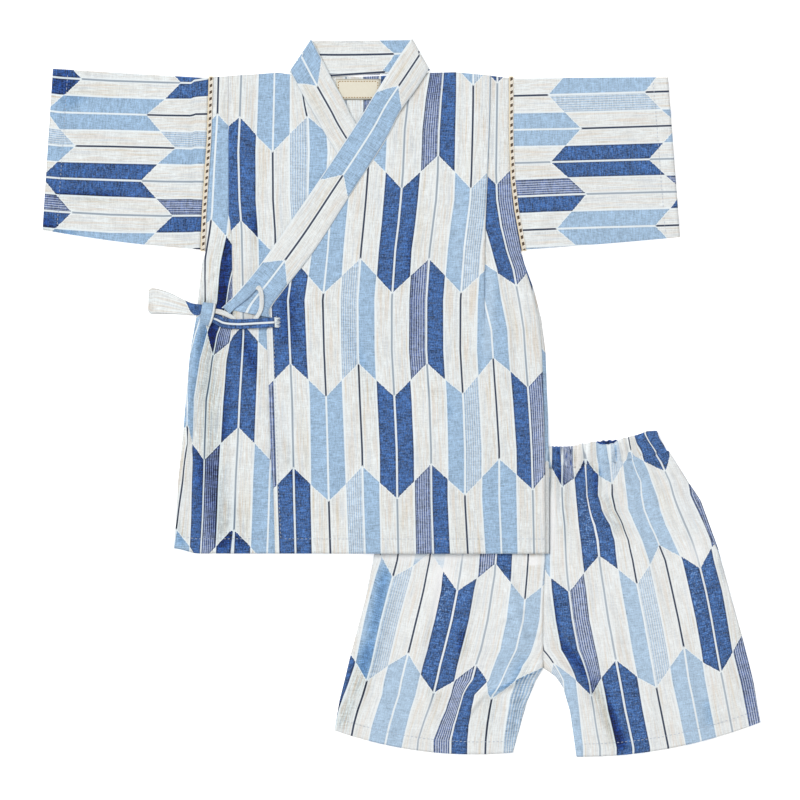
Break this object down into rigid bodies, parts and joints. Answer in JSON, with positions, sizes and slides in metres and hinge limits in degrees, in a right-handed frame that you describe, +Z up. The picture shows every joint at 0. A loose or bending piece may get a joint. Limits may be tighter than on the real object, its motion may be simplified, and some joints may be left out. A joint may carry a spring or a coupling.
{
  "type": "jinbei set",
  "caption": "Child's summer jinbei laid flat: wrap jacket with collar band, straight sleeves and side tie, over elastic-waist shorts.",
  "frame": {"origin": "middle of the set's outline, on the surface it lies on", "axes": "+X towards the wearer's left side, +Y towards the collar, +Z up out of the surface"},
  "size_m": [0.6319, 0.6315, 0.0102],
  "materials": {
    "arrow_feather_cotton": "matt yarn-dyed slub cotton in ecru, light blue and dark blue",
    "collar_cotton": "the same cotton, doubled and pressed",
    "tie_cotton": "the same cotton, sewn as flat ribbons",
    "ladder_lace": "matt cotton ladder lace in ochre and cream",
    "label_cotton": "plain cream cotton tape"
  },
  "bodies": {
    "root": {"jacket_back": "arrow_feather_cotton", "jacket_right_front": "arrow_feather_cotton", "jacket_left_front": "arrow_feather_cotton", "collar_band": "collar_cotton", "right_sleeve": "arrow_feather_cotton", "left_sleeve": "arrow_feather_cotton", "right_armhole_lace": "ladder_lace", "left_armhole_lace": "ladder_lace", "neck_label": "label_cotton", "tie_tail_side": "tie_cotton", "tie_knot": "tie_cotton", "tie_loop": "tie_cotton", "tie_loop_return": "tie_cotton", "tie_tail_front": "tie_cotton", "shorts_right_front": "arrow_feather_cotton", "shorts_left_front": "arrow_feather_cotton", "shorts_right_back": "arrow_feather_cotton", "shorts_left_back": "arrow_feather_cotton", "waistband": "arrow_feather_cotton", "pocket_facing": "arrow_feather_cotton"}
  },
  "joints": []
}
